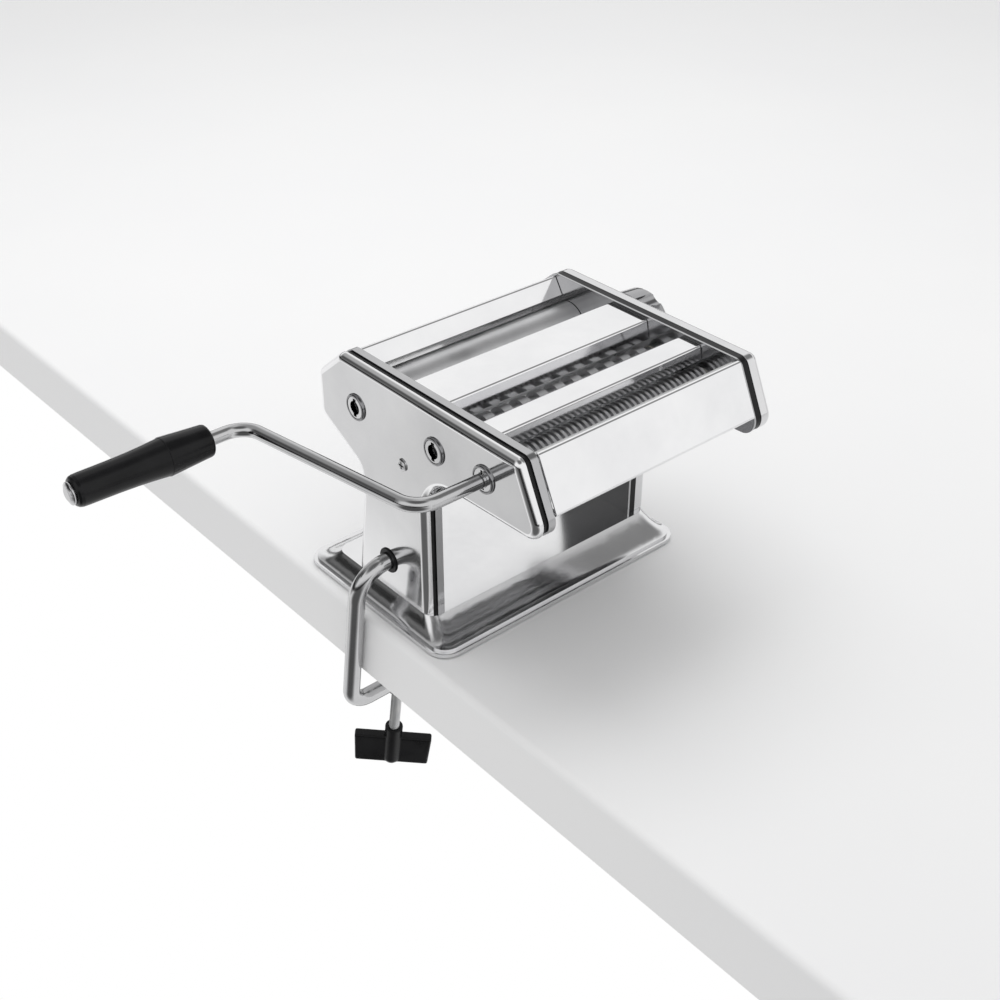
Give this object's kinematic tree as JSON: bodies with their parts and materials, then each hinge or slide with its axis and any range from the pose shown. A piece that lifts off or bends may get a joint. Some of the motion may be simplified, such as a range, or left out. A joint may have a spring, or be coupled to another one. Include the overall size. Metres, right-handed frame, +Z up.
{
  "type": "hand-cranked pasta machine",
  "caption": "Chrome table-clamped pasta roller with smooth rollers, wide and narrow cutters, thickness dial, removable crank and screw clamp.",
  "frame": {"origin": "centre of the base's outline in the plane of the feet, which is the table top", "axes": "+X along the rollers away from the crank side, -Y to the front where the strands come out, +Z up"},
  "size_m": [0.3677, 0.2046, 0.3139],
  "materials": {
    "chrome": "polished chrome plate on sheet steel",
    "roller_metal": "polished aluminium",
    "steel": "satin zinc-plated steel",
    "black_plastic": "black moulded plastic",
    "bush_plastic": "natural nylon",
    "rubber": "matt rubber"
  },
  "bodies": {
    "frame": {"base": "chrome", "base_feet": "rubber", "foot_blocks": "steel", "base_screws": "steel", "left_cover": "chrome", "right_cover": "chrome", "left_spacer": "black_plastic", "right_spacer": "black_plastic", "left_frame": "chrome", "right_frame": "chrome", "tie_rods": "steel", "screw_tie_rod": "steel", "cover_screws": "chrome", "front_panel": "chrome", "rear_panel": "chrome", "roller_guide": "chrome", "cutter_guide": "chrome", "roller_scrapers": "steel", "wide_combs": "steel", "narrow_combs": "steel", "shaft_bushes": "bush_plastic", "socket_collars": "chrome", "dial_plate": "steel", "dial_bush": "bush_plastic"},
    "drive_roller": {"drive_roller": "roller_metal", "drive_roller_gear": "steel", "drive_roller_socket": "chrome"},
    "roller_carriage": {"left_carrier": "steel", "right_carrier": "steel"},
    "adjust_roller": {"adjust_roller": "roller_metal", "adjust_roller_gear": "steel"},
    "wide_cutter": {"wide_cutter": "roller_metal", "wide_cutter_gear": "steel", "wide_cutter_socket": "chrome"},
    "wide_partner": {"wide_cutter_partner": "roller_metal", "wide_partner_gear": "steel"},
    "narrow_cutter": {"narrow_cutter": "roller_metal", "narrow_cutter_gear": "steel", "narrow_cutter_socket": "chrome"},
    "narrow_partner": {"narrow_cutter_partner": "roller_metal", "narrow_partner_gear": "steel"},
    "dial": {"dial_shaft": "steel", "dial_cam": "steel", "dial_stop_washer": "steel"},
    "knob": {"thickness_knob": "chrome", "index_pin": "steel", "knob_cap": "chrome"},
    "crank": {"crank_rod": "chrome", "crank_pin": "steel", "crank_retainer": "chrome"},
    "grip": {"crank_grip": "black_plastic"},
    "clamp_bush": {"clamp_grommet": "black_plastic"},
    "clamp_bar": {"clamp_bar": "chrome"},
    "clamp_pad": {"clamp_pad": "steel"},
    "clamp_screw": {"clamp_screw": "steel", "wing_knob": "black_plastic"}
  },
  "joints": [
    {"name": "drive_roller_spin", "type": "hinge", "parent": "frame", "child": "drive_roller", "pos_m": [0, 0.0159, 0.1291], "axis": [1, 0, 0], "continuous": true},
    {"name": "dial_turn", "type": "hinge", "parent": "frame", "child": "dial", "pos_m": [0, -0.0127, 0.1291], "axis": [1, 0, 0], "range_deg": [0, 320]},
    {"name": "knob_pull", "type": "slide", "parent": "dial", "child": "knob", "axis": [1, 0, 0], "range_m": [0, 0.004], "stiffness_N_per_m": 800, "springref_m": -0.003},
    {"name": "thickness_adjust", "type": "slide", "parent": "frame", "child": "roller_carriage", "axis": [0, -1, 0], "range_m": [0, 0.0024]},
    {"name": "adjust_roller_spin", "type": "hinge", "parent": "roller_carriage", "child": "adjust_roller", "pos_m": [0, -0.0127, 0.1291], "axis": [1, 0, 0], "continuous": true},
    {"name": "wide_cutter_spin", "type": "hinge", "parent": "frame", "child": "wide_cutter", "pos_m": [0, -0.0547, 0.133], "axis": [1, 0, 0], "continuous": true},
    {"name": "wide_partner_spin", "type": "hinge", "parent": "frame", "child": "wide_partner", "pos_m": [0, -0.0717, 0.133], "axis": [1, 0, 0], "continuous": true},
    {"name": "narrow_cutter_spin", "type": "hinge", "parent": "frame", "child": "narrow_cutter", "pos_m": [0, -0.0954, 0.1353], "axis": [1, 0, 0], "continuous": true},
    {"name": "narrow_partner_spin", "type": "hinge", "parent": "frame", "child": "narrow_partner", "pos_m": [0, -0.1124, 0.1353], "axis": [1, 0, 0], "continuous": true},
    {"name": "crank_pull", "type": "slide", "parent": "narrow_cutter", "child": "crank", "axis": [-1, 0, 0], "range_m": [0, 0.03]},
    {"name": "grip_spin", "type": "hinge", "parent": "crank", "child": "grip", "pos_m": [0, 0.0365, 0.1309], "axis": [1, 0, 0], "continuous": true},
    {"name": "clamp_swing", "type": "hinge", "parent": "frame", "child": "clamp_bush", "pos_m": [0, -0.0081, 0.0365], "axis": [1, 0, 0], "range_deg": [-39, 21]},
    {"name": "clamp_pull", "type": "slide", "parent": "clamp_bush", "child": "clamp_bar", "axis": [-1, 0, 0], "range_m": [0, 0.014]},
    {"name": "screw_travel", "type": "slide", "parent": "clamp_bar", "child": "clamp_pad", "axis": [0, -0.1616, 0.9869], "range_m": [-0.018, 0.034]},
    {"name": "screw_turn", "type": "hinge", "parent": "clamp_pad", "child": "clamp_screw", "pos_m": [-0.0728, 0.01019, -0.07521], "axis": [0, -0.1616, 0.9869], "range_deg": [-6480, 12240]}
  ],
  "couplings": [
    {"joint": "adjust_roller_spin", "follows": "drive_roller_spin", "ratio": -1},
    {"joint": "wide_partner_spin", "follows": "wide_cutter_spin", "ratio": -1},
    {"joint": "narrow_partner_spin", "follows": "narrow_cutter_spin", "ratio": -1},
    {"joint": "thickness_adjust", "follows": "dial_turn", "m_per_rad": 0.00042972},
    {"joint": "screw_travel", "follows": "screw_turn", "m_per_rad": 0.00015915}
  ]
}
